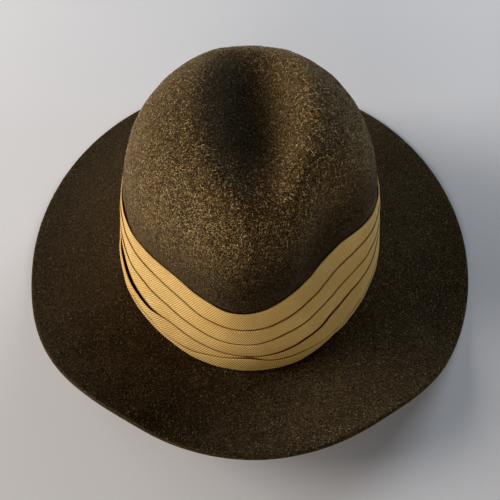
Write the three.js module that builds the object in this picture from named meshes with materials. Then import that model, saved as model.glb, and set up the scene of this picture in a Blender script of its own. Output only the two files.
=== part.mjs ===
import * as THREE from "three";

// Fedora: a felt hat in one piece, crown and brim, with a pleated cloth band round the crown.
// Millimetres, +Z up. The front of the hat faces -Y and +X is to the right when seen from the front.
// Angles are degrees round the head oval: 0 is +X, 90 the back, -90 the front, 180 is -X.

// Driving sizes
const HEAD_LENGTH = 206;
const HEAD_WIDTH = 166;
const FELT = 2.4;
const CROWN_HEIGHT = 111;
const BRIM_WIDTH = 64;
const BAND_HEIGHT = 41;
const BAND_CLOTH = 1;
const GAP = 0.4;

// The brim's top at the foot of the crown, over the table, and the curve between the two
const FOOT_HEIGHT = 9;
const FOOT_RADIUS = 3;
// How square the crown's shoulder is (2 is round) and how much it narrows to the top
const SHOULDER = 2.9;
const TAPER = 0.045;
// Share of the brim, from the cut edge, that lies flat where it rests, and how far it is pressed
const REST_SHARE = 0.2;
const REST_PRESS = 0.15;
// The cloth band starts this far over the brim
const BAND_FOOT = 1;

// Facets round the hat
const AROUND = 72;

const OUTER_WIDTH = HEAD_WIDTH + 2 * FELT;
const OUTER_LENGTH = HEAD_LENGTH + 2 * FELT;

// Where the front of the crown is pinched in: the middle of each pinch and its half width, degrees
const PINCHES = [
  { name: "left", angle: -127.6, wide: 34 },
  { name: "right", angle: -42.3, wide: 24.4 },
  { name: "nose", angle: -71.1, wide: 20.6 },
];

// How far each pinch goes in, as a share of the oval's radius, at shares of the crown's height
const PINCH_DEPTH = [
  { up: 0.0, left: 0.015, right: 0.03, nose: 0.0 },
  { up: 0.2, left: 0.085, right: 0.13, nose: 0.05 },
  { up: 0.37, left: 0.145, right: 0.22, nose: 0.095 },
  { up: 0.55, left: 0.145, right: 0.235, nose: 0.085 },
  { up: 0.75, left: 0.1, right: 0.17, nose: 0.05 },
  { up: 0.9, left: 0.055, right: 0.08, nose: 0.02 },
  { up: 1.0, left: 0.03, right: 0.03, nose: 0.0 },
];

// The long dent in the roof, front to back. Along is a share of the half length, the axis and the
// two half widths are shares of the half width, and the depth is a share of the crown's height.
const ROOF_DENT = [
  { along: -0.76, axis: 0.09, left: 0.12, right: 0.12, depth: 0.0 },
  { along: -0.63, axis: 0.09, left: 0.2, right: 0.16, depth: 0.03 },
  { along: -0.475, axis: 0.09, left: 0.35, right: 0.25, depth: 0.09 },
  { along: -0.265, axis: 0.09, left: 0.45, right: 0.34, depth: 0.145 },
  { along: 0.0, axis: 0.08, left: 0.46, right: 0.37, depth: 0.16 },
  { along: 0.235, axis: 0.06, left: 0.43, right: 0.36, depth: 0.145 },
  { along: 0.425, axis: 0.04, left: 0.38, right: 0.34, depth: 0.09 },
  { along: 0.59, axis: 0.035, left: 0.33, right: 0.31, depth: 0.027 },
  { along: 0.78, axis: 0.035, left: 0.31, right: 0.3, depth: 0.0 },
];

// The brim's cut edge. Rise is its lift off the table and wider its change of reach, both as shares
// of the brim's width: the sides and the back lie flat and the front is turned up.
const BRIM_EDGE = [
  { angle: -180, rise: 0.0, wider: 0.025 },
  { angle: -165, rise: 0.012, wider: 0.02 },
  { angle: -155, rise: 0.055, wider: 0.015 },
  { angle: -145, rise: 0.165, wider: 0.0 },
  { angle: -135, rise: 0.29, wider: -0.015 },
  { angle: -125, rise: 0.4, wider: -0.03 },
  { angle: -115, rise: 0.445, wider: -0.045 },
  { angle: -105, rise: 0.425, wider: -0.045 },
  { angle: -90, rise: 0.4, wider: -0.045 },
  { angle: -75, rise: 0.4, wider: -0.045 },
  { angle: -62, rise: 0.385, wider: -0.04 },
  { angle: -52, rise: 0.29, wider: -0.015 },
  { angle: -43, rise: 0.165, wider: 0.01 },
  { angle: -33, rise: 0.055, wider: 0.025 },
  { angle: -22, rise: 0.012, wider: 0.028 },
  { angle: -10, rise: 0.0, wider: 0.025 },
  { angle: 30, rise: 0.0, wider: 0.025 },
  { angle: 90, rise: 0.0, wider: 0.01 },
  { angle: 150, rise: 0.0, wider: 0.02 },
  { angle: 180, rise: 0.0, wider: 0.025 },
];

// Top edges of the band's four pleats as shares of its height, and how far the lowest pleat stands
// off the pleat behind it, in cloth thicknesses: it gapes at the left front.
const BAND_PLEATS = [
  { angle: -180, first: 1.0, second: 0.755, third: 0.46, fourth: 0.19, gape: 1.2 },
  { angle: -155, first: 0.965, second: 0.75, third: 0.45, fourth: 0.165, gape: 3.0 },
  { angle: -138, first: 0.98, second: 0.76, third: 0.48, fourth: 0.19, gape: 2.6 },
  { angle: -125, first: 0.99, second: 0.755, third: 0.495, fourth: 0.27, gape: 1.0 },
  { angle: -95, first: 0.955, second: 0.69, third: 0.445, fourth: 0.22, gape: 0.9 },
  { angle: -75, first: 0.97, second: 0.69, third: 0.475, fourth: 0.225, gape: 1.0 },
  { angle: -48, first: 0.97, second: 0.715, third: 0.5, fourth: 0.29, gape: 1.0 },
  { angle: -25, first: 1.02, second: 0.74, third: 0.48, fourth: 0.25, gape: 1.0 },
  { angle: 0, first: 1.0, second: 0.745, third: 0.48, fourth: 0.24, gape: 1.0 },
  { angle: 90, first: 1.0, second: 0.75, third: 0.49, fourth: 0.24, gape: 1.0 },
  { angle: 180, first: 1.0, second: 0.755, third: 0.46, fourth: 0.19, gape: 1.2 },
];

// Rows of the felt, as shares of the brim from the cut edge to the crown's foot
const BRIM_ROWS = [1, 0.9, 0.8, 0.6, 0.4, 0.2, 0];
// and as heights up the curve of the foot and tilts of the crown's wall and roof, degrees
const FOOT_ROWS = [0.15, 0.5, 1];
const CROWN_ROWS = [2, 4, 6.5, 9, 12, 15, 19, 24, 30, 36, 42, 48, 54, 60, 66, 72, 78, 84];

const radians = (degrees) => (degrees * Math.PI) / 180;
const clamp = (value, low, high) => Math.min(Math.max(value, low), high);

// A smooth curve through the named column of a table
function along(table, by, column, at) {
  const last = table.length - 1;
  const place = clamp(at, table[0][by], table[last][by]);
  let i = 0;
  while (i < last - 1 && place > table[i + 1][by]) {
    i += 1;
  }
  const slope = (k) => {
    const low = table[Math.max(k - 1, 0)];
    const high = table[Math.min(k + 1, last)];
    return (high[column] - low[column]) / (high[by] - low[by]);
  };
  const start = table[i];
  const end = table[i + 1];
  const span = end[by] - start[by];
  const t = (place - start[by]) / span;
  const easeIn = t * t * (3 - 2 * t);
  const lead = t * (1 - t) * (1 - t) * span * slope(i);
  const trail = t * t * (t - 1) * span * slope(i + 1);
  return start[column] * (1 - easeIn) + end[column] * easeIn + lead + trail;
}

const wrap = (degrees) => ((((degrees + 180) % 360) + 360) % 360) - 180;

// How much of the oval's radius is left after the pinches and the taper
function wallShare(angle, up) {
  let share = 1 - TAPER * up;
  for (const pinch of PINCHES) {
    const away = wrap(angle - pinch.angle) / pinch.wide;
    share -= along(PINCH_DEPTH, "up", pinch.name, up) * Math.exp(-away * away);
  }
  return share;
}

// How far the roof is dented below the open crown
function roofDent(x, y, up) {
  const place = y / (OUTER_LENGTH / 2);
  const half = OUTER_WIDTH / 2;
  const axis = along(ROOF_DENT, "along", "axis", place) * half;
  const side = x < axis ? "left" : "right";
  const wide = along(ROOF_DENT, "along", side, place) * half;
  const depth = along(ROOF_DENT, "along", "depth", place) * CROWN_HEIGHT;
  const across = clamp((x - axis) / wide, -1, 1);
  return depth * (0.5 + 0.5 * Math.cos(Math.PI * across)) * clamp((up - 0.5) / 0.3, 0, 1);
}

// Outward direction in plan
function outward(angle) {
  const way = new THREE.Vector3(
    Math.cos(radians(angle)) / OUTER_WIDTH,
    Math.sin(radians(angle)) / OUTER_LENGTH,
    0,
  );
  return way.normalize();
}

const tiltAt = (height) => Math.asin(Math.pow(clamp(height / CROWN_HEIGHT, 0, 1), SHOULDER / 2));

// Outside of the crown: tilt runs from 0 at the foot to a right angle at the top
function crownPoint(angle, tilt) {
  const across = Math.pow(Math.max(Math.cos(tilt), 0), 2 / SHOULDER);
  const up = Math.pow(Math.sin(tilt), 2 / SHOULDER);
  const share = across * wallShare(angle, up);
  const x = (OUTER_WIDTH / 2) * share * Math.cos(radians(angle));
  const y = (OUTER_LENGTH / 2) * share * Math.sin(radians(angle));
  const point = new THREE.Vector3(x, y, FOOT_HEIGHT + CROWN_HEIGHT * up - roofDent(x, y, up));
  const left = 1 - (CROWN_HEIGHT * up) / FOOT_RADIUS;
  if (left > 0) {
    point.addScaledVector(outward(angle), FOOT_RADIUS * (1 - Math.sqrt(1 - left * left)));
  }
  return point;
}

// Top of the brim: share runs from 0 at the crown's foot to 1 at the cut edge
function brimPoint(angle, share) {
  const at = wrap(angle);
  const edge = FELT - REST_PRESS + along(BRIM_EDGE, "angle", "rise", at) * BRIM_WIDTH;
  const wider = along(BRIM_EDGE, "angle", "wider", at) * BRIM_WIDTH;
  const rise = edge - FOOT_HEIGHT;
  const reach = Math.sqrt(BRIM_WIDTH * BRIM_WIDTH - rise * rise) + wider - FOOT_RADIUS;
  const fall = 1 - Math.pow(1 - clamp(share / (1 - REST_SHARE), 0, 1), 1.6);
  const bend = rise < 0 ? fall : Math.pow(share, 1.35);
  const point = crownPoint(angle, 0).addScaledVector(outward(angle), reach * share);
  point.z = FOOT_HEIGHT + rise * bend;
  return point;
}

// Every row of the outside of the felt, from the brim's edge to just below the crown's top
function feltRows() {
  const rows = [];
  const ring = (make) => {
    const row = [];
    for (let i = 0; i < AROUND; i += 1) {
      row.push(make((360 * i) / AROUND));
    }
    rows.push(row);
  };
  for (const share of BRIM_ROWS) {
    ring((angle) => brimPoint(angle, share));
  }
  for (const share of FOOT_ROWS) {
    ring((angle) => crownPoint(angle, tiltAt(share * FOOT_RADIUS)));
  }
  for (const tilt of CROWN_ROWS) {
    ring((angle) => crownPoint(angle, radians(tilt)));
  }
  return rows;
}

// The way out of the felt at each point of its rows
function rowNormals(rows, top) {
  const last = rows.length - 1;
  return rows.map((row, r) =>
    row.map((point, i) => {
      const before = row[(i + AROUND - 1) % AROUND];
      const after = row[(i + 1) % AROUND];
      const below = rows[Math.max(r - 1, 0)][i];
      const above = r < last ? rows[r + 1][i] : top;
      const round = new THREE.Vector3().subVectors(after, before);
      const rise = new THREE.Vector3().subVectors(above, below);
      return round.cross(rise).normalize();
    }),
  );
}

function bodyOf(points, faces) {
  const geometry = new THREE.BufferGeometry();
  geometry.setAttribute("position", new THREE.Float32BufferAttribute(points.flatMap((p) => p.toArray()), 3));
  geometry.setIndex(faces);
  geometry.computeVertexNormals();
  return geometry;
}

// Two triangles for each square between neighbouring rings of points
function skin(faces, low, high) {
  for (let i = 0; i < AROUND; i += 1) {
    const next = (i + 1) % AROUND;
    faces.push(low + i, low + next, high + next, low + i, high + next, high + i);
  }
}

function feltGeometry() {
  const outer = feltRows();
  const top = crownPoint(0, Math.PI / 2);
  const normals = rowNormals(outer, top);
  const inner = outer.map((row, r) =>
    row.map((point, i) => {
      const inside = point.clone().addScaledVector(normals[r][i], -FELT);
      inside.z = Math.max(inside.z, 0);
      return inside;
    }),
  );
  const points = [...outer.flat(), top, ...inner.flat(), top.clone().add(new THREE.Vector3(0, 0, -FELT))];
  const faces = [];
  const count = outer.length;
  const peak = count * AROUND;
  const base = peak + 1;
  const innerPeak = base + count * AROUND;
  for (let r = 0; r + 1 < count; r += 1) {
    skin(faces, r * AROUND, (r + 1) * AROUND);
    skin(faces, base + (r + 1) * AROUND, base + r * AROUND);
  }
  skin(faces, base, 0);
  for (let i = 0; i < AROUND; i += 1) {
    const next = (i + 1) % AROUND;
    const last = (count - 1) * AROUND;
    faces.push(last + i, last + next, peak, base + last + next, base + last + i, innerPeak);
  }
  return bodyOf(points, faces);
}

// A point of the band, a height over the brim and a distance out from the crown's wall
function bandPoint(angle, height, out) {
  const tilt = tiltAt(height);
  const wall = crownPoint(angle, tilt);
  const round = crownPoint(angle + 0.5, tilt).sub(crownPoint(angle - 0.5, tilt));
  return wall.add(new THREE.Vector3(round.y, -round.x, 0).normalize().multiplyScalar(out));
}

// The band's section: its back against the felt, then down its front, pleat over pleat. Each pleat
// starts behind the top edge of the next one down.
function bandSection(angle) {
  const at = wrap(angle);
  const edge = (name) => BAND_FOOT + along(BAND_PLEATS, "angle", name, at) * (BAND_HEIGHT - BAND_FOOT);
  const gape = along(BAND_PLEATS, "angle", "gape", at);
  const top = edge("first");
  const lip = 0.35 * BAND_CLOTH;
  const back = [0, 0.17, 0.33, 0.5, 0.67, 0.83, 1].map((share) => [BAND_FOOT + share * (top - BAND_FOOT), GAP]);
  const cloth = (layers) => GAP + layers * BAND_CLOTH;
  return [
    ...back,
    [top, cloth(1)],
    [edge("second") + lip, cloth(1.1)],
    [edge("second"), cloth(2)],
    [edge("third") + lip, cloth(1.3)],
    [edge("third"), cloth(2.4)],
    [edge("fourth") + lip, cloth(1.6)],
    [edge("fourth"), cloth(1.6 + gape)],
    [0.5 * (edge("fourth") + BAND_FOOT), cloth(3.1 + 0.4 * gape)],
    [BAND_FOOT, cloth(2.8)],
  ];
}

function bandGeometry() {
  const rings = [];
  for (let i = 0; i < AROUND; i += 1) {
    const angle = (360 * i) / AROUND;
    rings.push(bandSection(angle).map(([height, out]) => bandPoint(angle, height, out)));
  }
  const count = rings[0].length;
  const points = [];
  for (let k = 0; k < count; k += 1) {
    rings.forEach((ring) => points.push(ring[k]));
  }
  const faces = [];
  for (let k = 0; k < count; k += 1) {
    skin(faces, ((k + 1) % count) * AROUND, k * AROUND);
  }
  return bodyOf(points, faces);
}

const feltCloth = new THREE.MeshStandardMaterial({ color: 0x473a28, roughness: 0.95, metalness: 0 });
const bandCloth = new THREE.MeshStandardMaterial({ color: 0xb8924f, roughness: 0.85, metalness: 0 });

const hat = new THREE.Group();
hat.name = "fedora";

const felt = new THREE.Mesh(feltGeometry(), feltCloth);
felt.name = "felt_body";
const band = new THREE.Mesh(bandGeometry(), bandCloth);
band.name = "pleated_band";
hat.add(felt, band);

// The origin is under the middle of the hat's box
const box = new THREE.Box3().setFromObject(hat);
const middle = box.getCenter(new THREE.Vector3());
for (const piece of [felt, band]) {
  piece.geometry.translate(-middle.x, -middle.y, -box.min.z);
}

export default hat;
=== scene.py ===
# %% [markdown]
# # A felt fedora with a pleated cloth band
#
# The real hat is one piece of felt, steamed over a block into a crown and a brim, with a strip of
# pleated cloth sewn round the foot of the crown. The solids of it are loaded first as a frame, in
# metres, and everything made here sits where they sit.

# %% Load the frame
import math

import bpy
import numpy as np
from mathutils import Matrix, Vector


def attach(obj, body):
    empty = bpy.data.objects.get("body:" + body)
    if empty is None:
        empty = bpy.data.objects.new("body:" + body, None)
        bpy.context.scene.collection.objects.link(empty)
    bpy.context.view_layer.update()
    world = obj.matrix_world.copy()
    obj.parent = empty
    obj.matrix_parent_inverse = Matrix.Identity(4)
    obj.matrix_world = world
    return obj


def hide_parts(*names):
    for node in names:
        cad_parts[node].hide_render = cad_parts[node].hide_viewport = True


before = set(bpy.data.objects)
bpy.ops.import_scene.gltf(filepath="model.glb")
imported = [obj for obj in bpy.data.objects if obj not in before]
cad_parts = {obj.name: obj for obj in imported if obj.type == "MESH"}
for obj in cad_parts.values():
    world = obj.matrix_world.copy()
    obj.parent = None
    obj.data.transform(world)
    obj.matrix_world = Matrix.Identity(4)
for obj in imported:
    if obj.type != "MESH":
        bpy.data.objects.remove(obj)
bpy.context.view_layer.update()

# %% [markdown]
# ## The camera
#
# The camera comes first, because every size and finish below is judged through it. The photograph
# looks down on the front of the hat from close by, so the lens is a short one and the brim at the
# front looks much wider than the brim at the back. A camera can be moved by eye until it fits, but
# this place and angle were worked out from the outline of the brim and the foot of the crown.

# %% Place the camera
MM = 0.001
PHOTO_WIDTH = 500
PHOTO_FOCUS = 540
SENSOR = 36
CAMERA_PLACE = (0.0, -242.3, 304.5)
CAMERA_DOWN = 53.7

camera_data = bpy.data.cameras.new("camera")
camera_data.sensor_width = SENSOR
camera_data.lens = SENSOR * PHOTO_FOCUS / PHOTO_WIDTH
camera_data.clip_start = 0.01
camera = bpy.data.objects.new("camera", camera_data)
camera.location = [MM * value for value in CAMERA_PLACE]
camera.rotation_euler = (math.radians(90 - CAMERA_DOWN), 0, 0)
bpy.context.scene.collection.objects.link(camera)
bpy.context.scene.camera = camera
print("camera lens:", round(camera_data.lens, 1), "mm")

# %% [markdown]
# ## The hatter's measures
#
# A hat is measured in millimetres: the head opening, the height of the crown, the width of the brim
# and the height of the band. Angles go round the head oval in degrees, with 0 at the wearer's left
# (+X), 90 at the back and -90 at the front. These are the sizes that the solids were made from.

# %% Write down the measures
HEAD_LENGTH = 206
HEAD_WIDTH = 166
FELT = 2.4
CROWN_HEIGHT = 111
BRIM_WIDTH = 64
BAND_HEIGHT = 41
BAND_FOOT = 1
FOOT_HEIGHT = 9
FOOT_RADIUS = 3
SHOULDER = 2.9
TAPER = 0.045
REST_SHARE = 0.2
REST_PRESS = 0.15
BOX_MIDDLE = (-0.01, 3.27)
OUTER_WIDTH = HEAD_WIDTH + 2 * FELT
OUTER_LENGTH = HEAD_LENGTH + 2 * FELT
print("outside of the crown's foot:", OUTER_WIDTH, "by", OUTER_LENGTH, "mm")

# %% [markdown]
# ## A smooth curve through a table
#
# Hand shaping has no formula, so each dent and curl is a short table of what was measured, and a
# smooth curve runs through its rows. Straight lines between them would show as kinks in the felt.
# NumPy works out a whole grid of points in one go, which keeps a fine mesh quick to make.

# %% Read between the rows of a table
def along(table, by, column, at):
    """The smooth curve through one named column, read at any places."""
    places = np.array([row[by] for row in table], float)
    values = np.array([row[column] for row in table], float)
    last = len(places) - 1
    before = np.maximum(np.arange(last + 1) - 1, 0)
    after = np.minimum(np.arange(last + 1) + 1, last)
    slope = (values[after] - values[before]) / (places[after] - places[before])
    at = np.clip(at, places[0], places[-1])
    i = np.clip(np.searchsorted(places, at) - 1, 0, last - 1)
    span = places[i + 1] - places[i]
    t = (at - places[i]) / span
    ease = t * t * (3 - 2 * t)
    lead = t * (1 - t) ** 2 * span * slope[i]
    trail = t * t * (t - 1) * span * slope[i + 1]
    return values[i] * (1 - ease) + values[i + 1] * ease + lead + trail


def wrap(degrees):
    """An angle brought between -180 and 180."""
    return (degrees + 180) % 360 - 180


def columns(names, *rows):
    """A table with named columns from plain rows."""
    return [dict(zip(names.split(), row)) for row in rows]


print("half way between 0 and 2:", along(columns("at value", (0, 0), (1, 2)), "at", "value", 0.5))

# %% [markdown]
# ## The crown
#
# The crown starts as an open dome on an oval, a little square in the shoulder. Fingers then pinch
# it in on both sides of the front, and the edge of a hand presses a long dent into the roof. The
# pinches take away a share of the oval's radius, and the dent takes away height, so both keep the
# felt in one unbroken sheet, as steaming does. Sculpting could make them too, but a table can be
# read and changed. Left and right in these tables are those of the picture.

# %% Write down the dents
PINCHES = columns(
    "name angle wide",
    ("left", -127.6, 34),
    ("right", -42.3, 24.4),
    ("nose", -71.1, 20.6),
)
PINCH_DEPTH = columns(
    "up left right nose",
    (0.0, 0.015, 0.03, 0.0),
    (0.2, 0.085, 0.13, 0.05),
    (0.37, 0.145, 0.22, 0.095),
    (0.55, 0.145, 0.235, 0.085),
    (0.75, 0.1, 0.17, 0.05),
    (0.9, 0.055, 0.08, 0.02),
    (1.0, 0.03, 0.03, 0.0),
)
ROOF_DENT = columns(
    "along axis left right depth",
    (-0.76, 0.09, 0.12, 0.12, 0.0),
    (-0.63, 0.09, 0.2, 0.16, 0.03),
    (-0.475, 0.09, 0.35, 0.25, 0.09),
    (-0.265, 0.09, 0.45, 0.34, 0.145),
    (0.0, 0.08, 0.46, 0.37, 0.16),
    (0.235, 0.06, 0.43, 0.36, 0.145),
    (0.425, 0.04, 0.38, 0.34, 0.09),
    (0.59, 0.035, 0.33, 0.31, 0.027),
    (0.78, 0.035, 0.31, 0.3, 0.0),
)
DENT_DEPTH = max(row["depth"] for row in ROOF_DENT)
DENT_FROM = 0.5
DENT_BLEND = 0.3
print("deepest place of the roof's dent:", round(DENT_DEPTH * CROWN_HEIGHT, 1), "mm")

# %% [markdown]
# ## The crown's surface
#
# Every point of the crown is worked out from two numbers: the angle round the hat, and how far the
# wall has tilted over from upright towards the top. A stretched sphere could be the start, but its
# shoulder is too round, so a power of the sine and cosine squares the dome a little. At the foot the
# wall flares into the brim on a small radius, as blocked felt does.

# %% Shape the crown
def wall_share(angle, up):
    """What the pinches and the taper leave of the oval's radius."""
    share = 1 - TAPER * up
    for pinch in PINCHES:
        away = wrap(angle - pinch["angle"]) / pinch["wide"]
        share = share - along(PINCH_DEPTH, "up", pinch["name"], up) * np.exp(-away * away)
    return share


def roof_dent(x, y, up):
    """How far the roof is pressed down."""
    place = y / (OUTER_LENGTH / 2)
    half = OUTER_WIDTH / 2
    axis = along(ROOF_DENT, "along", "axis", place) * half
    left = along(ROOF_DENT, "along", "left", place) * half
    right = along(ROOF_DENT, "along", "right", place) * half
    across = np.clip((x - axis) / np.where(x < axis, left, right), -1, 1)
    depth = along(ROOF_DENT, "along", "depth", place) * CROWN_HEIGHT
    bowl = 0.5 + 0.5 * np.cos(np.pi * across)
    return depth * bowl * np.clip((up - DENT_FROM) / DENT_BLEND, 0, 1)


def outward(angle):
    """Outward direction in plan."""
    turn = np.radians(angle)
    way = np.stack([np.cos(turn) / OUTER_WIDTH, np.sin(turn) / OUTER_LENGTH, 0 * turn], -1)
    return way / np.linalg.norm(way, axis=-1, keepdims=True)


def tilt_at(height):
    """The tilt of the wall, in radians, at a height over the brim."""
    return np.arcsin(np.clip(height / CROWN_HEIGHT, 0, 1) ** (SHOULDER / 2))


def crown_point(angle, tilt):
    """Outside of the crown: tilt runs from 0 at the foot to a right angle at the top."""
    across = np.maximum(np.cos(tilt), 0) ** (2 / SHOULDER)
    up = np.sin(tilt) ** (2 / SHOULDER)
    share = across * wall_share(angle, up)
    x = OUTER_WIDTH / 2 * share * np.cos(np.radians(angle))
    y = OUTER_LENGTH / 2 * share * np.sin(np.radians(angle))
    point = np.stack([x, y, FOOT_HEIGHT + CROWN_HEIGHT * up - roof_dent(x, y, up)], -1)
    left = np.clip(1 - CROWN_HEIGHT * up / FOOT_RADIUS, 0, 1)
    flare = FOOT_RADIUS * (1 - np.sqrt(1 - left * left))
    return point + outward(angle) * flare[..., None]


print("top of the crown at the back, mm:", crown_point(np.array(90.0), np.array(1.2)).round(1))

# %% [markdown]
# ## The brim
#
# The brim is a flat ring with a set to it: the sides and the back lie on the table, and the front is
# turned up. A lattice could bend a flat ring, but then no number would say how high the edge stands.
# So the cut edge follows a table of how far it rises and how much wider it is than the nominal
# width, and the felt between the edge and the crown bends the way a steamed brim does.

# %% Shape the brim
BRIM_EDGE = columns(
    "angle rise wider",
    (-180, 0.0, 0.025),
    (-165, 0.012, 0.02),
    (-155, 0.055, 0.015),
    (-145, 0.165, 0.0),
    (-135, 0.29, -0.015),
    (-125, 0.4, -0.03),
    (-115, 0.445, -0.045),
    (-105, 0.425, -0.045),
    (-90, 0.4, -0.045),
    (-75, 0.4, -0.045),
    (-62, 0.385, -0.04),
    (-52, 0.29, -0.015),
    (-43, 0.165, 0.01),
    (-33, 0.055, 0.025),
    (-22, 0.012, 0.028),
    (-10, 0.0, 0.025),
    (30, 0.0, 0.025),
    (90, 0.0, 0.01),
    (150, 0.0, 0.02),
    (180, 0.0, 0.025),
)
FALL_BEND = 1.6
RISE_BEND = 1.35


def brim_point(angle, share):
    """Top of the brim: share runs from 0 at the crown's foot to 1 at the cut edge."""
    at = wrap(angle)
    edge = FELT - REST_PRESS + along(BRIM_EDGE, "angle", "rise", at) * BRIM_WIDTH
    wider = along(BRIM_EDGE, "angle", "wider", at) * BRIM_WIDTH
    rise = edge - FOOT_HEIGHT
    reach = np.sqrt(BRIM_WIDTH**2 - rise**2) + wider - FOOT_RADIUS
    fall = 1 - (1 - np.clip(share / (1 - REST_SHARE), 0, 1)) ** FALL_BEND
    bend = np.where(rise < 0, fall, share**RISE_BEND)
    point = crown_point(angle, 0 * angle) + outward(angle) * (reach * share)[..., None]
    point[..., 2] = FOOT_HEIGHT + rise * bend
    return point


print("front of the brim, mm:", brim_point(np.array(-90.0), np.array(1.0)).round(1))

# %% [markdown]
# ## Rings of points into a mesh
#
# Both the felt and the cloth go right round the hat, so both are stacks of closed rings. A screw
# modifier could turn an outline round, but it would leave no dents. The helpers space points round a
# ring, join rings with squares and move the result into the frame, in metres.
# Each point can also carry its place on the cloth, which the weave follows, and marks for colour.

# %% Make a mesh from rings
def ring_angles(around):
    """Angles evenly spaced once round the hat, in degrees."""
    return np.linspace(0, 360, around, endpoint=False)


def ring_faces(rings, around):
    """Squares between each ring and the next, for rings that are numbered in order."""
    i = np.arange(around)
    j = (i + 1) % around
    faces = []
    for low, high in rings:
        low = low * around
        high = high * around
        faces.append(np.stack([low + i, low + j, high + j, high + i], -1))
    return np.concatenate(faces).tolist()


def to_frame(points):
    """Millimetres round the head oval into metres in the frame."""
    points = np.array(points, float).reshape(-1, 3)
    points[:, :2] -= BOX_MIDDLE
    return points * MM


def add_mesh(name, points, faces, places=None, **marks):
    """A smooth mesh, with each point's place on the cloth and any marks, one number a point."""
    mesh = bpy.data.meshes.new(name)
    mesh.from_pydata(to_frame(points).tolist(), [], faces)
    mesh.update()
    mesh.shade_smooth()
    if places is not None:
        layer = mesh.uv_layers.new(name="cloth")
        corners = np.empty(len(mesh.loops), np.int32)
        mesh.loops.foreach_get("vertex_index", corners)
        layer.data.foreach_set("uv", places.reshape(-1, 2)[corners].astype(np.float32).ravel())
    for label, values in marks.items():
        layer = mesh.attributes.new(label, "FLOAT", "POINT")
        layer.data.foreach_set("value", values.astype(np.float32).ravel())
    piece = bpy.data.objects.new(name, mesh)
    bpy.context.scene.collection.objects.link(piece)
    triangles = sum(len(face) - 2 for face in faces)
    print(name, len(points), "points", triangles, "triangles")
    return piece


print("a ring of 4 points stands at", ring_angles(4), "degrees")

# %% [markdown]
# ## Where the felt is painted lit or shaded
#
# The felt is painted pale where the crown faces the light, up, to the left and to the back, and it
# stays dark as painted shade in the dent, on the brim and in the pinch on the right of the picture.
# The brim gets a little painted light towards the right, where the crown's shadow falls. Each point
# of the felt carries a number for this, from 0 for dark to 1 for lit, and the colours are mixed by it
# later. A painted mask could do the same, but a rule holds for a mesh of any fineness.

# %% Mark where the felt gets painted light and shade
# Painted light grows along this way towards the light, between these two distances in millimetres
PAINTED_LIGHT_WAY = (-0.34, 0.42, 0.84)
PAINTED_LIGHT_REACH = (4, 60)
# Heights in millimetres over which the crown's painted light takes over from the brim's
PAINTED_LIGHT_HEIGHT = (26, 84)
# Painted shade in the roof's dent: how far it is shifted to the right, how strong it is, and its
# curve
DENT_SHADE_SHIFT = 11
DENT_SHADE_SHARE = 0.75
DENT_SHADE_BEND = 0.7
# Painted light on the brim: its level, and how much more it gets to the right, in the crown's shadow
BRIM_PAINTED_LIGHT = (0.18, 0.13)
HALF_HAT = 150


def smooth_step(value, low, high):
    """0 below low, 1 above high, and smooth between."""
    share = np.clip((value - low) / (high - low), 0, 1)
    return share * share * (3 - 2 * share)


def painted_light_share(points):
    """How much painted light the felt gets at some points, with painted shade in the dent and the
    pinch.
    """
    pressed = roof_dent(points[..., 0] + DENT_SHADE_SHIFT, points[..., 1], 1)
    dent_shade = np.clip(pressed / (DENT_DEPTH * CROWN_HEIGHT), 0, 1)
    lit = smooth_step(points @ np.array(PAINTED_LIGHT_WAY), *PAINTED_LIGHT_REACH)
    crown = lit * (1 - DENT_SHADE_SHARE * dent_shade**DENT_SHADE_BEND)
    brim = BRIM_PAINTED_LIGHT[0] + BRIM_PAINTED_LIGHT[1] * points[..., 0] / HALF_HAT
    high = smooth_step(points[..., 2], *PAINTED_LIGHT_HEIGHT)
    return high * crown + (1 - high) * brim


# The painted light at a point on the crown's left
print("rubbed at the crown's left:", painted_light_share(np.array((-80.0, -20.0, 60.0))).round(2))

# %% [markdown]
# ## The felt body
#
# Felt has no threads, so the body is one closed shell: the outside, a rounded cut edge, and the
# inside a felt's thickness behind it. A solidify modifier could give the thickness, but it would
# leave the cut edge square.

# %% Lay out the felt
FELT_AROUND = 288
BRIM_ROWS = 42
CROWN_ROWS = 84
FOOT_ROWS = (0.06, 0.15, 0.3, 0.5, 0.75, 1)
WALL_TILTS = (1.6, 89.4)


def surface_normals(rings, top):
    """The way out of the felt at each point of its rings."""
    round_way = np.roll(rings, -1, 1) - np.roll(rings, 1, 1)
    peak = np.broadcast_to(top, rings[:1].shape)
    rise_way = np.gradient(np.concatenate([rings, peak]), axis=0)[:-1]
    normal = np.cross(round_way, rise_way)
    return normal / np.linalg.norm(normal, axis=-1, keepdims=True)


def felt_rings():
    """Rings of the outside of the felt, from the brim's cut edge up to the crown's top."""
    angle = ring_angles(FELT_AROUND)
    rings = [brim_point(angle, 0 * angle + share) for share in np.linspace(1, 0, BRIM_ROWS)]
    rings += [crown_point(angle, tilt_at(share * FOOT_RADIUS + 0 * angle)) for share in FOOT_ROWS]
    tilts = np.radians(np.linspace(*WALL_TILTS, CROWN_ROWS))
    rings += [crown_point(angle, tilt + 0 * angle) for tilt in tilts]
    return np.array(rings)


print("rings of the felt:", len(felt_rings()))

# %% [markdown]
# ## An uneven surface
#
# A faint unevenness keeps the felt from looking moulded. A displace modifier could add it, but here
# it has to be calmed where the brim lies low, because the hat rests flat there. So it is a sum of
# slow waves in random directions, drawn from a fixed seed so that every run is the same.

# %% Make the felt body
CUT_PLACES = (0.15, 0.5, 0.85)
EDGE_ROUND = 0.55
UNEVEN = 0.22
LONG_WAVES = 34
SHORT_WAVES = 13
SHORT_SEED = 5
WAVE_SPREAD = (0.7, 1.5)
CALM_HEIGHT = 6
CALM_SHARE = 0.25


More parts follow.
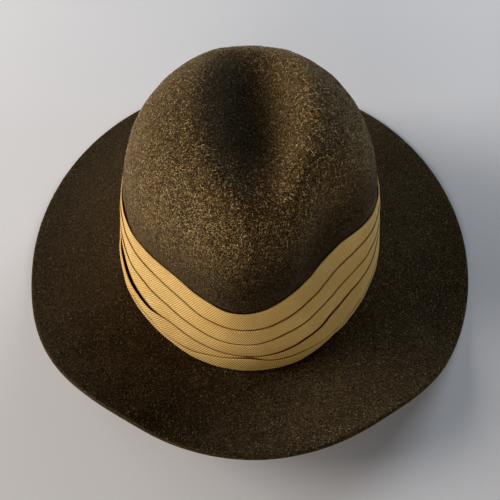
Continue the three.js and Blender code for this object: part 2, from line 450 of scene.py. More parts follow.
def slow_waves(points, length, count=18, seed=3):
    """A smooth random field, about -1 to 1, that changes over the given length in millimetres."""
    draw = np.random.default_rng(seed)
    field = np.zeros(points.shape[:-1])
    for _ in range(count):
        way = draw.normal(size=3)
        way /= np.linalg.norm(way)
        pace = 2 * np.pi / (length * draw.uniform(*WAVE_SPREAD))
        field += np.sin(points @ way * pace + draw.uniform(0, 2 * np.pi))
    return field / math.sqrt(count)


def felt_body():
    """The whole felt as one closed shell, with its outside and the way out of it for the hairs."""
    outer = felt_rings()
    top = crown_point(np.array(0.0), np.array(math.pi / 2))
    normal = surface_normals(outer, top)
    inner = outer - FELT * normal
    inner[..., 2] = np.maximum(inner[..., 2], 0)
    short = slow_waves(outer, SHORT_WAVES, seed=SHORT_SEED)
    uneven = UNEVEN * (slow_waves(outer, LONG_WAVES) + 0.5 * short)
    lifted = np.clip((outer[..., 2] - FELT) / CALM_HEIGHT, CALM_SHARE, 1)
    outer = outer + normal * (uneven * lifted)[..., None]
    cut = []
    for share in CUT_PLACES:
        bulge = outward(ring_angles(FELT_AROUND)) * EDGE_ROUND * math.sin(math.pi * share)
        cut.append(outer[0] * (1 - share) + inner[0] * share + bulge)
    rings = np.concatenate([inner[::-1], cut[::-1], outer])
    count = len(rings)
    points = np.concatenate([rings.reshape(-1, 3), [top, top - (0, 0, FELT)]])
    faces = ring_faces([(r, r + 1) for r in range(count - 1)], FELT_AROUND)
    peak = count * FELT_AROUND
    last = peak - FELT_AROUND
    for i in range(FELT_AROUND):
        j = (i + 1) % FELT_AROUND
        faces.append([last + i, last + j, peak])
        faces.append([j, i, peak + 1])
    # Each point of the felt carries how much painted light it gets
    return add_mesh("felt_hat", points, faces, worn=painted_light_share(points)), outer, normal


felt, felt_outside, felt_way_out = felt_body()

# %% [markdown]
# ## Loose fibres
#
# Close up, felt is furry: single hairs lie on its surface every way and catch the light. Blender can
# grow hair, but other programs can't read it, so each hair is a thin closed sliver with pointed
# ends. They are strewn evenly, so a place on the surface is chosen by the area round it, and each
# hair also remembers a random shade for its colour. The foot of the crown gets none, because the
# band covers it.

# %% Strew the loose fibres
CROWN_HAIRS = 32000
CROWN_SEED = 12
BRIM_HAIRS = 24000
BRIM_SEED = 11
HAIR_LENGTH = (1.0, 2.5)
HAIR_WIDTH = (0.22, 0.42)
HAIR_DEPTH = 0.1
HAIR_LIFT = 0.14
LIFT_SPREAD = (0.4, 1.6)
HAIR_CORNERS = 5
HAIR_FACES = ((0, 2, 3), (0, 3, 4), (0, 4, 2), (1, 3, 2), (1, 4, 3), (1, 2, 4))
COVERED_ROWS = CROWN_ROWS // 6


def strewn(name, rows, count, seed):
    """Hairs over a run of the felt's rows, as one mesh of thin slivers."""
    draw = np.random.default_rng(seed)
    grid = felt_outside[rows]
    way_out = felt_way_out[rows]
    side = np.roll(grid, -1, 1) - grid
    area = np.linalg.norm(np.cross(side[:-1], grid[1:] - grid[:-1]), axis=-1)
    cell = draw.choice(area.size, count, p=(area / area.sum()).ravel())
    r, i = np.divmod(cell, FELT_AROUND)
    j = (i + 1) % FELT_AROUND
    u, v = draw.uniform(size=(2, count, 1))
    low = grid[r, i] * (1 - u) + grid[r, j] * u
    high = grid[r + 1, i] * (1 - u) + grid[r + 1, j] * u
    middle = low * (1 - v) + high * v
    out = way_out[r, i]
    lie = np.cross(out, draw.normal(size=(count, 3)))
    lie /= np.linalg.norm(lie, axis=-1, keepdims=True)
    half = draw.uniform(*HAIR_LENGTH, (count, 1)) / 2
    wide = draw.uniform(*HAIR_WIDTH, (count, 1)) / 2
    across = np.cross(out, lie) * wide
    lift = HAIR_LIFT * draw.uniform(*LIFT_SPREAD, (count, 1))
    corners = [middle - lie * half, middle + lie * half + out * lift]
    back = middle + out * lift
    corners += [back + across, back + out * HAIR_DEPTH, back - across]
    points = np.stack(corners, 1)
    first = HAIR_CORNERS * np.arange(count)[:, None, None]
    faces = (np.array(HAIR_FACES)[None] + first).reshape(-1, 3)
    shade = np.repeat(draw.uniform(size=count), HAIR_CORNERS)
    # Each hair carries the painted light of the felt under it
    worn = np.repeat(painted_light_share(middle), HAIR_CORNERS)
    return add_mesh(name, points.reshape(-1, 3), faces.tolist(), shade=shade, worn=worn)


crown_start = BRIM_ROWS + len(FOOT_ROWS) + COVERED_ROWS
nap = [
    strewn("brim_hairs", slice(0, BRIM_ROWS), BRIM_HAIRS, BRIM_SEED),
    strewn("crown_hairs", slice(crown_start, None), CROWN_HAIRS, CROWN_SEED),
]

# %% [markdown]
# ## The pleated band
#
# The band is one strip of twill laid in pleats: each fold overlaps the one below it and shows a
# rounded top edge with a dark crevice behind it. Every pleat is its own closed ring here, a folded
# strip whose tail is tucked behind the next fold down, because that gives real shadows in the
# crevices. The diagonal ribs of the twill are raised in the mesh as well.

# %% Write down the pleats
PLEAT_TOPS = columns(
    "angle first second third fourth gape",
    (-180, 1.0, 0.755, 0.46, 0.19, 1.2),
    (-155, 0.965, 0.75, 0.45, 0.165, 2.5),
    (-138, 0.98, 0.76, 0.48, 0.19, 2.1),
    (-125, 0.99, 0.755, 0.495, 0.27, 1.0),
    (-95, 0.955, 0.69, 0.445, 0.22, 0.9),
    (-75, 0.97, 0.69, 0.475, 0.225, 1.3),
    (-62, 0.97, 0.705, 0.49, 0.26, 1.6),
    (-48, 0.97, 0.715, 0.5, 0.29, 1.4),
    (-25, 1.02, 0.74, 0.48, 0.25, 1.1),
    (0, 1.0, 0.745, 0.48, 0.24, 1.0),
    (90, 1.0, 0.75, 0.49, 0.24, 1.0),
    (180, 1.0, 0.755, 0.46, 0.19, 1.2),
)
STRAND_TOP = columns(
    "angle height loose",
    (-180, 1.4, 0.0),
    (-128, 1.8, 0.3),
    (-114, 3.4, 0.9),
    (-104, 6.8, 1.0),
    (-95, 9.3, 1.0),
    (-88, 9.5, 1.0),
    (-82, 7.0, 1.0),
    (-75, 5.8, 1.0),
    (-68, 4.8, 0.8),
    (-58, 2.8, 0.35),
    (-48, 1.6, 0.0),
    (-30, 1.4, 0.0),
    (180, 1.4, 0.0),
)
# How far the back of each fold stands off the crown, at its top edge and at its tail
PLEAT_SETTING = columns(
    "name top_out tail_out swell",
    ("first", 0.35, 0.1, 0.1),
    ("second", 1.24, 0.5, 0.25),
    ("third", 1.85, 0.95, 0.3),
    ("fourth", 2.42, 2.1, 0.6),
    ("strand", 3.8, 3.5, 0.2),
)
print("pleats:", [row["name"] for row in PLEAT_SETTING])

# %% [markdown]
# ## Places on the band
#
# The band follows the wall of the crown, so a place on it is given by an angle round the hat, a
# height over the brim and a distance out from the wall. A flat strip could be shrunk onto the crown
# instead, but its folds would be pressed flat. The weave needs the length along the cloth as well,
# and that is measured round the middle of the band.

# %% Find places on the band
TUCK = 3.0
MIDDLE_OUT = 3


def pleat_top(name, angle):
    """Height of a pleat's top edge over the brim, in millimetres."""
    at = wrap(angle)
    if name == "foot":
        return 0 * at + BAND_FOOT - TUCK
    if name == "strand":
        return along(STRAND_TOP, "angle", "height", at)
    return BAND_FOOT + along(PLEAT_TOPS, "angle", name, at) * (BAND_HEIGHT - BAND_FOOT)


def off_the_wall(angle, height, out):
    """A point a height over the brim and a distance out from the crown's wall."""
    tilt = tilt_at(height)
    wall = crown_point(angle, tilt)
    step = crown_point(angle + 0.5, tilt) - crown_point(angle - 0.5, tilt)
    way = np.stack([step[..., 1], -step[..., 0], 0 * tilt], -1)
    way /= np.linalg.norm(way, axis=-1, keepdims=True)
    return wall + way * out[..., None]


def round_length(angle):
    """Length along the band to each angle, which the weave is laid out by, and all the way round."""
    line = off_the_wall(angle, 0 * angle + BAND_HEIGHT / 2, 0 * angle + MIDDLE_OUT)
    steps = np.linalg.norm(np.diff(line, axis=0, append=line[:1]), axis=-1)
    return np.concatenate([[0], np.cumsum(steps)[:-1]]), steps.sum()


print("the band is", round(round_length(ring_angles(360))[1]), "mm round")

# %% [markdown]
# ## The shape of one pleat
#
# Seen from its cut end, a pleat is a flat loop: it goes up the front, over a small round fold and
# down the back. A curve with a bevel would keep one shape all the way round, and a pleat opens and
# closes as it goes. So the loop's rows are given as a height over the brim and a distance out from
# the crown, at every angle.

# %% Shape a pleat
FACE_ROWS = 22
FACE_CROWDING = 0.8
FOLD = 0.8
FOLD_TURNS = (30, 60, 90, 120, 150)
FOLD_RIBBED = 4
BACK_PLACES = (1, 0.66, 0.33, 0)
GAPE_SHARE = {"fourth": 1.0, "strand": 0.6}
GAPE_BEND = 1.5
RIB_RELIEF = 0.2
FOLD_RELIEF = 0.26


def pleat_rows(setting, angle, top, tail):
    """The loop of one pleat as rows of heights over the brim and distances out from the crown."""
    loose = along(PLEAT_TOPS, "angle", "gape", wrap(angle)) - 1
    gape = GAPE_SHARE.get(setting["name"], 0.0) * loose
    climb = top - FOLD / 2 - tail
    lean = setting["top_out"] - setting["tail_out"]
    rows = []
    for share in np.linspace(0, 1, FACE_ROWS) ** FACE_CROWDING:
        out = setting["tail_out"] + lean * share + FOLD
        out = out + (setting["swell"] + 0.5 * gape) * math.sin(math.pi * share)
        rows.append((tail + climb * share, out + gape * share**GAPE_BEND))
    for turn in np.radians(FOLD_TURNS):
        height = top - FOLD / 2 + FOLD / 2 * math.sin(turn)
        rows.append((height, setting["top_out"] + gape + FOLD / 2 * (1 + math.cos(turn))))
    for share in BACK_PLACES:
        out = setting["tail_out"] + lean * share + gape * share**GAPE_BEND
        rows.append((tail + climb * share, out))
    return rows


def rib_relief(row):
    """How far the ribs stand out on a row: most at the fold, and not at all on the back."""
    if row >= FACE_ROWS + FOLD_RIBBED:
        return 0.0
    at_fold = max(0.0, 1 - abs(row - FACE_ROWS) / FOLD_RIBBED)
    return RIB_RELIEF + (FOLD_RELIEF - RIB_RELIEF) * at_fold


print("rows in a pleat:", FACE_ROWS + len(FOLD_TURNS) + len(BACK_PLACES))

# %% [markdown]
# ## Ribs, sag and creases
#
# The ribs of the twill are a wave that climbs as it goes round the band, raised on the pleat's
# front. A painted weave would need fewer points, but real ribs also break up each fold's outline.
# The cloth sags a little too. Each point gets a number for painted shade in the crease, which is 1
# where the cloth disappears behind the next pleat down.

# %% Make a pleat
BAND_AROUND = 1300
RIB = 1.45
RIB_CLIMB = 1.2
SAG = 0.14
SAG_WAVES = 15
SAG_SEED = 21
# Painted shade at each crease: how far it reaches over the fold in millimetres, and how the ribs dot
# it
CREASE_SHADE = 0.32
CREASE_DOTS = 0.45
FOLD_SHOWN = 3
STRAND_TUCKED = 1.7
STRAND_DEEP = 1.2
STRAND_FOOT = 0.4


def pleat(setting, below):
    """One pleat as a closed ring, tucked behind the one below it."""
    angle = ring_angles(BAND_AROUND)
    top = pleat_top(setting["name"], angle)
    next_top = pleat_top(below, angle)
    tail = np.maximum(next_top - TUCK, BAND_FOOT)
    tucked = 0 * angle
    if setting["name"] == "strand":
        tail = np.maximum(np.minimum(tail, top - STRAND_DEEP), STRAND_FOOT)
        tucked = STRAND_TUCKED * (1 - along(STRAND_TOP, "angle", "loose", wrap(angle)))
    length, whole = round_length(angle)
    ribs = round(whole / RIB)
    rings = []
    places = []
    creases = []
    for row, (height, out) in enumerate(pleat_rows(setting, angle, top, tail)):
        phase = 2 * np.pi * (ribs * length / whole - height / (RIB * RIB_CLIMB))
        sag = slow_waves(off_the_wall(angle, height, 0 * out), SAG_WAVES, seed=SAG_SEED)
        out = out + rib_relief(row) * np.cos(phase) + SAG * (1 + sag) - tucked
        rings.append(off_the_wall(angle, height, out))
        places.append(np.stack([length / whole * ribs * RIB, height], -1))
        # Painted shade for the crease, reaching over the fold's edge in dots along the ribs
        reach = CREASE_SHADE * (1 - CREASE_DOTS * (1 + np.cos(phase)))
        hidden = np.clip((next_top + reach - height) / reach, 0, 1)
        creases.append(hidden if row < FACE_ROWS + FOLD_SHOWN else 0 * hidden + 1)
    count = len(rings)
    faces = ring_faces([(r, (r + 1) % count) for r in range(count)], BAND_AROUND)
    name = "band_" + setting["name"] + "_pleat"
    points = np.concatenate(rings)
    return add_mesh(name, points, faces, np.array(places), crease=np.array(creases))


print("ribs climb", round(math.degrees(math.atan(RIB_CLIMB))), "degrees")

# %% [markdown]
# ## Folding the band
#
# The pleats are made from the top down, and each is told which one lies below it. The lowest is a
# loose strand that stands off in front and is tucked in at the sides. One long folded mesh could
# hold them all, but separate rings can be set and coloured one at a time.

# %% Fold the pleats
names = [row["name"] for row in PLEAT_SETTING]
pleats = [pleat(row, below) for row, below in zip(PLEAT_SETTING, names[1:] + ["foot"])]

# %% [markdown]
# ## Materials
#
# A material is a small machine of nodes. Nodes can be placed by hand in the editor, but a script
# writes down every value. These helpers only save typing: they add a node and set its values, feed
# an input, and spread a mask over a range.

# %% Helpers for nodes
def add_node(tree, kind, **values):
    """A node of a kind, with its properties set by name and its inputs by their labels."""
    node = tree.nodes.new(kind)
    for name, value in values.items():
        label = name.replace("_", " ")
        if label in node.inputs:
            node.inputs[label].default_value = value
        else:
            setattr(node, name, value)
    return node


def feed(tree, socket, value):
    """Give an input a plain value, or link it to the output of another node."""
    if isinstance(value, bpy.types.NodeSocket):
        tree.links.new(value, socket)
    else:
        socket.default_value = value


def spread_out(tree, value, ends, smooth=False, top=1.0):
    """A mask that is 0 at the first of two ends and full at the second."""
    node = add_node(tree, "ShaderNodeMapRange")
    node.interpolation_type = "SMOOTHSTEP" if smooth else "LINEAR"
    feed(tree, node.inputs["Value"], value)
    feed(tree, node.inputs["From Min"], ends[0])
    feed(tree, node.inputs["From Max"], ends[1])
    feed(tree, node.inputs["To Max"], top)
    return node.outputs[0]


print("node helpers ready")

# %% [markdown]
# ### Soft patches
#
# Neither felt nor cloth is one even colour: both vary in soft patches. Each material could have its
# own nodes for this, but a group with named inputs and outputs is built once and then placed in both
# with its own values. Noise gives the patches, and a range turns them into a mask from 0 to 1.

# %% Build the patch group
FLOAT = "NodeSocketFloat"
PATCHES = {"Scale": 100.0, "Detail": 3.0, "From": 0.35, "To": 0.65}
PATCH_ROUGHNESS = 0.6


def new_group(name, inputs, outputs):
    """A shader node group with named sockets. Each input is (name, kind, value)."""
    group = bpy.data.node_groups.new(name, "ShaderNodeTree")
    for label, kind, value in inputs:
        socket = group.interface.new_socket(label, in_out="INPUT", socket_type=kind)
        socket.default_value = value
    for label, kind in outputs:
        group.interface.new_socket(label, in_out="OUTPUT", socket_type=kind)
    start = group.nodes.new("NodeGroupInput")
    end = group.nodes.new("NodeGroupOutput")
    return group, start, end


def patch_group():
    """A mask of soft patches that stay fixed to the object."""
    group, start, end = new_group(
        "soft_patches",
        [(label, FLOAT, value) for label, value in PATCHES.items()],
        [("Mask", FLOAT)],
    )
    place = add_node(group, "ShaderNodeTexCoord")
    noise = add_node(group, "ShaderNodeTexNoise", Roughness=PATCH_ROUGHNESS)
    group.links.new(place.outputs["Object"], noise.inputs["Vector"])
    group.links.new(start.outputs["Scale"], noise.inputs["Scale"])
    group.links.new(start.outputs["Detail"], noise.inputs["Detail"])
    mask = spread_out(group, noise.outputs[0], (start.outputs["From"], start.outputs["To"]))
    group.links.new(mask, end.inputs["Mask"])
    return group


soft_patches = patch_group()
print("patch group:", len(soft_patches.nodes), "nodes")

# %% [markdown]
# ### Felt fibres
#
# Fur felt is a mat of fine fibres of mixed shades that lie every way. An image of felt would show
# its own light and its seams. Noise that is stretched along one direction looks like strands, so
# three such noises in different directions are laid over each other instead. The group gives a mask
# of pale fibres, one of dark fibres, and a height for the bump.

# %% Build the fibre group
FINENESS = 3300.0
STRETCH = 0.2
STRAND_TURNS = ((0.3, 0.9, 0.2), (1.2, -0.6, 1.9), (-0.7, 0.4, 3.4))
STRAND_SHIFT = (0.13, 0.2, 0.31)
PALE_ENDS = (0.57, 0.72)
DARK_ENDS = (0.41, 0.3)


def calculate(tree, operation, *values):
    """The result of a math node that is fed numbers or sockets."""
    node = add_node(tree, "ShaderNodeMath", operation=operation)
    for socket, value in zip(node.inputs, values):
        feed(tree, socket, value)
    return node.outputs[0]


def fibre_strand(group, start, number):
    """One layer of stretched noise, turned its own way."""
    x, y, z = STRAND_SHIFT
    turned = add_node(group, "ShaderNodeMapping", Rotation=STRAND_TURNS[number])
    turned.inputs["Location"].default_value = (x * number, y, z * number)
    place = add_node(group, "ShaderNodeTexCoord")
    group.links.new(place.outputs["Object"], turned.inputs["Vector"])
    split = add_node(group, "ShaderNodeSeparateXYZ")
    group.links.new(turned.outputs[0], split.inputs[0])
    squeezed = calculate(group, "MULTIPLY", split.outputs["X"], start.outputs["Stretch"])
    joined = add_node(group, "ShaderNodeCombineXYZ")
    for label, value in (("X", squeezed), ("Y", split.outputs["Y"]), ("Z", split.outputs["Z"])):
        group.links.new(value, joined.inputs[label])
    noise = add_node(group, "ShaderNodeTexNoise", Detail=1.0, Roughness=0.5)
    group.links.new(joined.outputs[0], noise.inputs["Vector"])
    group.links.new(start.outputs["Fineness"], noise.inputs["Scale"])
    return noise.outputs[0]


def fibre_group():
    """Masks of pale and dark fibres, and their height."""
    group, start, end = new_group(
        "felt_fibres",
        [("Fineness", FLOAT, FINENESS), ("Stretch", FLOAT, STRETCH), ("Amount", FLOAT, 1.0)],
        [("Pale", FLOAT), ("Dark", FLOAT), ("Height", FLOAT)],
    )
    strands = [fibre_strand(group, start, number) for number in range(len(STRAND_TURNS))]
    high = strands[0]
    low = strands[0]
    for strand in strands[1:]:
        high = calculate(group, "MAXIMUM", high, strand)
        low = calculate(group, "MINIMUM", low, strand)
    amount = start.outputs["Amount"]
    results = {
        "Pale": spread_out(group, high, PALE_ENDS, smooth=True, top=amount),
        "Dark": spread_out(group, low, DARK_ENDS, smooth=True, top=amount),
        "Height": calculate(group, "ADD", high, low),
    }
    for label, value in results.items():
        group.links.new(value, end.inputs[label])
    return group


felt_fibres = fibre_group()
print("fibre group:", len(felt_fibres.nodes), "nodes")

# %% [markdown]
# ### Starting a material
#
# Each finish starts from a Principled shader, which can look like almost any real surface. These
# helpers start one, read the marks that a mesh carries, mix two colours and add a bump. The mix node
# has several inputs with one label, so its two colours are picked by their number.

# %% Helpers for materials
MIX_LOW = 6
MIX_HIGH = 7
MIX_RESULT = 2


def mix_colour(tree, factor, low, high):
    """One colour over another by a mask. Low and high are colours or sockets."""
    mix = add_node(tree, "ShaderNodeMix", data_type="RGBA")
    feed(tree, mix.inputs["Factor"], factor)
    feed(tree, mix.inputs[MIX_LOW], low)
    feed(tree, mix.inputs[MIX_HIGH], high)
    return mix.outputs[MIX_RESULT]


def mark(tree, label):
    """A number that the points of the mesh carry."""
    return add_node(tree, "ShaderNodeAttribute", attribute_name=label).outputs["Fac"]


def add_bump(tree, shader, height, strength, distance):
    """Small relief on a shader, from a height."""
    bump = add_node(tree, "ShaderNodeBump", Strength=strength, Distance=distance)
    tree.links.new(height, bump.inputs["Height"])
    tree.links.new(bump.outputs[0], shader.inputs["Normal"])


def new_material(name):
    """A material with its node tree and its Principled shader."""
    material = bpy.data.materials.new(name)
    material.use_nodes = True
    tree = material.node_tree
    return material, tree, tree.nodes["Principled BSDF"]


print("material helpers ready")

# %% [markdown]
# ### The felt
#
# The felt is a dark olive brown. Pale fibres go over its ground and dark fibres over those, and soft
# blotches turn some of the pale ones russet. Where the felt has painted light, its pale fibres are
# much paler and its ground is a little warmer, and where it has painted shade they stay dark. The
# soft glow of felt at a low angle comes from the shader's sheen, set as plain numbers.

# %% Make the felt material
# Each dark colour is the felt's own, and also stands as painted shade; each paler one is painted
# light
DARK_GROUND = (0.034, 0.027, 0.017, 1)
PAINTED_LIGHT_GROUND = (0.042, 0.028, 0.016, 1)
DARK_NAP = (0.094, 0.076, 0.045, 1)
PAINTED_LIGHT_NAP = (0.56, 0.4, 0.175, 1)
RUSSET_FIBRE = (0.3, 0.16, 0.08, 1)
DARK_FIBRE = (0.014, 0.01, 0.007, 1)
RUSSET_SHARE = 0.35
BLOTCHES = {"Scale": 420.0, "Detail": 3.0, "From": 0.35, "To": 0.65}
# Strength and distance of the bump
FELT_BUMP = (0.45, 0.0005)
SHEEN_TINT = (1, 0.82, 0.52, 1)


def felt_material():
    """The felt, dark with painted shade or pale with painted light by the mark on its points."""
    material, tree, shader = new_material("hat_felt")
    # Painted light, from the mark on the felt's points, turns the ground and the fibres paler
    worn = mark(tree, "worn")
    ground = mix_colour(tree, worn, DARK_GROUND, PAINTED_LIGHT_GROUND)
    fibre = mix_colour(tree, worn, DARK_NAP, PAINTED_LIGHT_NAP)
    blotches = add_node(tree, "ShaderNodeGroup", node_tree=soft_patches, **BLOTCHES)
    russet = calculate(tree, "MULTIPLY", blotches.outputs["Mask"], RUSSET_SHARE)
    hue = mix_colour(tree, russet, fibre, RUSSET_FIBRE)
    fibres = add_node(tree, "ShaderNodeGroup", node_tree=felt_fibres)
    paled = mix_colour(tree, fibres.outputs["Pale"], ground, hue)
    colour = mix_colour(tree, fibres.outputs["Dark"], paled, DARK_FIBRE)
    tree.links.new(colour, shader.inputs["Base Color"])
    add_bump(tree, shader, fibres.outputs["Height"], *FELT_BUMP)
    shader.inputs["Roughness"].default_value = 0.95
    shader.inputs["Specular IOR Level"].default_value = 0.1
    shader.inputs["Sheen Weight"].default_value = 0.22
    shader.inputs["Sheen Roughness"].default_value = 0.32
    shader.inputs["Sheen Tint"].default_value = SHEEN_TINT
    return material


felt.data.materials.append(felt_material())
print("felt material on", felt.name)

# %% [markdown]
# ### The hairs
#
# The hairs take a shade between dark brown and pale straw, by the random number that each one
# carries. A separate material for each shade could do the same, but a colour ramp gives every shade
# in between. There are two ramps, because hairs are painted paler where the felt has painted light.

# %% Make the hair material
# The dark column is the hairs' own colour, and also stands as painted shade; the other is painted
# light
HAIR_SHADES = columns(
    "place dark worn",
    (0.0, (0.02, 0.014, 0.01, 1), (0.02, 0.014, 0.01, 1)),
    (0.35, (0.032, 0.028, 0.017, 1), (0.07, 0.05, 0.026, 1)),
    (0.6, (0.068, 0.047, 0.026, 1), (0.31, 0.18, 0.088, 1)),
    (0.85, (0.105, 0.092, 0.05, 1), (0.64, 0.49, 0.215, 1)),
    (1.0, (0.17, 0.14, 0.082, 1), (1.0, 0.8, 0.46, 1)),
)


def hair_ramp(tree, shade, column):
    """The colours of one column of the table, picked by each hair's shade."""
    ramp = add_node(tree, "ShaderNodeValToRGB")
    stops = ramp.color_ramp.elements
    for k, row in enumerate(HAIR_SHADES):
        stop = stops[k] if k < 2 else stops.new(row["place"])
        stop.position = row["place"]
        stop.color = row[column]
    tree.links.new(shade, ramp.inputs[0])
    return ramp.outputs["Color"]


def hair_material():
    """The loose fibres, each in its own shade."""
    material, tree, shader = new_material("hat_hairs")
    shade = mark(tree, "shade")
    dark = hair_ramp(tree, shade, "dark")
    # Painted light from the felt's mark makes the hairs paler
    colour = mix_colour(tree, mark(tree, "worn"), dark, hair_ramp(tree, shade, "worn"))
    tree.links.new(colour, shader.inputs["Base Color"])
    shader.inputs["Roughness"].default_value = 0.7
    shader.inputs["Specular IOR Level"].default_value = 0.3
    return material


hairs = hair_material()
for piece in nap:
    piece.data.materials.append(hairs)
print("hair material on", [piece.name for piece in nap])

# %% [markdown]
# ### The weave
#
# Twill shows fine ribs that climb to the right, with a valley between each two and threads across
# them. It could be an image, but waves made by nodes stay sharp close up. They are laid out by each
# point's place on the cloth, length along the band and height up it, so they stay straight on every
# pleat. The mesh has the ribs already, and the group sharpens them with a mask for painted shade in
# the valleys and adds the threads, which are too fine for the mesh.

# %% Build the twill group
THREAD = 0.42
VALLEY_SHADE_ENDS = (0.1, -0.95)
THREAD_HEIGHT = 0.3


def twill_group():
    """A mask for painted shade in the valleys between the ribs, and the height of ribs and threads.
    """
    group, start, end = new_group(
        "twill",
        [("Rib", FLOAT, RIB), ("Thread", FLOAT, THREAD)],
        [("Valley_shade", FLOAT), ("Height", FLOAT)],
    )
    place = add_node(group, "ShaderNodeUVMap", uv_map="cloth")
    split = add_node(group, "ShaderNodeSeparateXYZ")
    group.links.new(place.outputs[0], split.inputs[0])
    length = split.outputs["X"]
    height = split.outputs["Y"]
    climb = calculate(group, "MULTIPLY_ADD", height, -1 / RIB_CLIMB, length)
    waves = []
    for value, pace in ((climb, "Rib"), (length, "Thread"), (height, "Thread")):
        turns = calculate(group, "DIVIDE", value, start.outputs[pace])
        waves.append(calculate(group, "COSINE", calculate(group, "MULTIPLY", turns, 2 * math.pi)))
    rib, warp, weft = waves
    threads = calculate(group, "MULTIPLY", warp, weft)
    relief = calculate(group, "MULTIPLY_ADD", threads, THREAD_HEIGHT, rib)
    # Painted shade in the valleys of the twill
    group.links.new(spread_out(group, rib, VALLEY_SHADE_ENDS, smooth=True), end.inputs["Valley_shade"])
    group.links.new(relief, end.inputs["Height"])
    return group


twill = twill_group()
print("twill group:", len(twill.nodes), "nodes")

# %% [markdown]
# ### The band's cloth
#
# The cloth is a warm straw colour, faded a little here and there, with painted shade in the valleys
# of the twill and darker painted shade where it goes into a crease. One flat colour would leave all
# of that to the light, and the folds would look shallow. So each has its own mask and its own colour.

# %% Make the band's material
CLOTH = (0.78, 0.515, 0.17, 1)
CLOTH_PALE = (0.84, 0.6, 0.24, 1)
# Painted shade in the valleys of the twill
CLOTH_VALLEY_SHADE = (0.4, 0.22, 0.06, 1)
# Darker painted shade in the creases
CLOTH_CREASE_SHADE = (0.2, 0.1, 0.028, 1)
FADED = {"Scale": 60.0, "Detail": 4.0, "From": 0.35, "To": 0.7}
CLOTH_BUMP = (0.4, 0.0002)


def cloth_material():
    """The twill of the band, with painted shade in its valleys and creases."""
    material, tree, shader = new_material("twill_cloth")
    weave = add_node(tree, "ShaderNodeGroup", node_tree=twill)
    faded = add_node(tree, "ShaderNodeGroup", node_tree=soft_patches, **FADED)
    ground = mix_colour(tree, faded.outputs["Mask"], CLOTH, CLOTH_PALE)
    # Painted shade in the valleys of the twill
    ribbed = mix_colour(tree, weave.outputs["Valley_shade"], ground, CLOTH_VALLEY_SHADE)
    # Darker painted shade in the creases
    colour = mix_colour(tree, mark(tree, "crease"), ribbed, CLOTH_CREASE_SHADE)
    tree.links.new(colour, shader.inputs["Base Color"])
    add_bump(tree, shader, weave.outputs["Height"], *CLOTH_BUMP)
    shader.inputs["Roughness"].default_value = 0.8
    shader.inputs["Specular IOR Level"].default_value = 0.3
    shader.inputs["Sheen Weight"].default_value = 0.1
    return material


band_cloth = cloth_material()
for piece in pleats:
    piece.data.materials.append(band_cloth)
print("twill on", len(pleats), "pleats")

# %% [markdown]
# ## The table and the light
#
# The hat stands on a plain pale floor. Warm light comes from a wide window on the left of the
# picture, and weaker cool light from the room behind the hat and on the right. Each is a soft area
# light, given by its bearing and height in degrees. A picture of a room could light the hat too, but
# lights can be moved and dimmed one at a time. The floor is a flat sheet, wider than the view.

# %% Light the hat
FLOOR_HALF = 2.5
FLOOR_COLOUR = (0.86, 0.86, 0.86, 1)
LIGHT_DISTANCE = 1.7
AIM = (0, 0, 0.05)
WARM = (1, 0.93, 0.88)
COOL = (0.77, 0.865, 1)
LIGHTS = columns(
    "name azimuth elevation size power colour",
    ("window", 179, 20, 0.9, 28.0, WARM),
    ("window_front", -110, 12, 0.7, 10.5, WARM),
    ("window_back", 150, 18, 0.9, 7.5, WARM),
    ("room_back", 56, 17, 0.9, 18.0, COOL),
    ("room_right", -4, 6, 0.4, 4.9, COOL),
)
WORLD_COLOUR = (0.8, 0.9, 1, 1)
WORLD_STRENGTH = 0.015


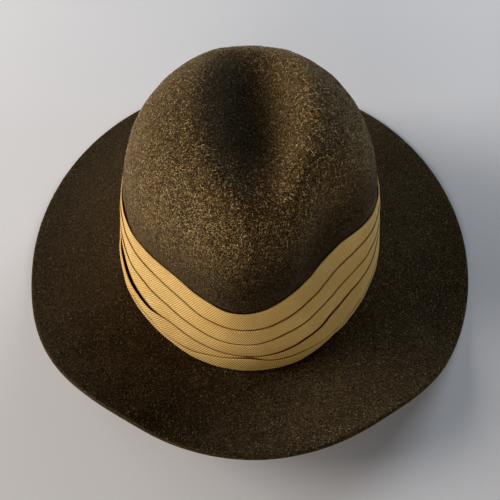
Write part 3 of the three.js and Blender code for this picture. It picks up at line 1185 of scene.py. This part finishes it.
def floor_sheet():
    """The flat floor, with its own plain material."""
    h = FLOOR_HALF
    mesh = bpy.data.meshes.new("floor")
    mesh.from_pydata([(-h, -h, 0), (h, -h, 0), (h, h, 0), (-h, h, 0)], [], [(0, 1, 2, 3)])
    floor = bpy.data.objects.new("floor", mesh)
    bpy.context.scene.collection.objects.link(floor)
    material, tree, shader = new_material("floor")
    shader.inputs["Base Color"].default_value = FLOOR_COLOUR
    shader.inputs["Roughness"].default_value = 0.9
    shader.inputs["Specular IOR Level"].default_value = 0.1
    mesh.materials.append(material)
    return floor


def light_from(name, azimuth, elevation, size, power, colour):
    """A soft light a set distance away, by its bearing round the hat and its height in degrees."""
    turn = math.radians(azimuth)
    rise = math.radians(elevation)
    flat = LIGHT_DISTANCE * math.cos(rise)
    height = AIM[2] + LIGHT_DISTANCE * math.sin(rise)
    place = Vector((flat * math.cos(turn), flat * math.sin(turn), height))
    data = bpy.data.lights.new(name, "AREA")
    data.size = size
    data.energy = power
    data.color = colour
    light = bpy.data.objects.new(name, data)
    light.location = place
    light.rotation_euler = (Vector(AIM) - place).to_track_quat("-Z", "Y").to_euler()
    bpy.context.scene.collection.objects.link(light)


floor = floor_sheet()
for row in LIGHTS:
    light_from(**row)

world = bpy.data.worlds.new("room")
world.use_nodes = True
background = world.node_tree.nodes["Background"]
background.inputs["Color"].default_value = WORLD_COLOUR
background.inputs["Strength"].default_value = WORLD_STRENGTH
bpy.context.scene.world = world

# %% [markdown]
# ## The tone of the picture
#
# A camera darkens deep shadows a little, so dark felt looks darker and richer than it is. Darker
# materials could match that, but they would be wrong in any other light. So the same gentle toe goes
# into the colour management, as a curve that changes only the picture.

# %% Set the tone
TOE = 0.02
CURVE_STEPS = (0.004, 0.01, 0.02, 0.04, 0.08, 0.16, 0.35, 0.65)
view = bpy.context.scene.view_settings
view.view_transform = "Standard"
view.use_curve_mapping = True
tone = view.curve_mapping.curves[3]
for level in CURVE_STEPS:
    tone.points.new(level, level * level / (level + TOE))
tone.points[-1].location = (1, 1 / (1 + TOE))
view.curve_mapping.update()
print("tone points:", [tuple(round(v, 3) for v in point.location) for point in tone.points])

# %% [markdown]
# ## Tie the pieces to the frame
#
# Each piece is tied to the frame by what it moves with, and the solid that it stands for is hidden.

# %% Tie the pieces to the frame
for piece in [felt] + nap:
    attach(piece, "root")
    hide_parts("felt_body")
for piece in pleats:
    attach(piece, "root")
    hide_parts("pleated_band")
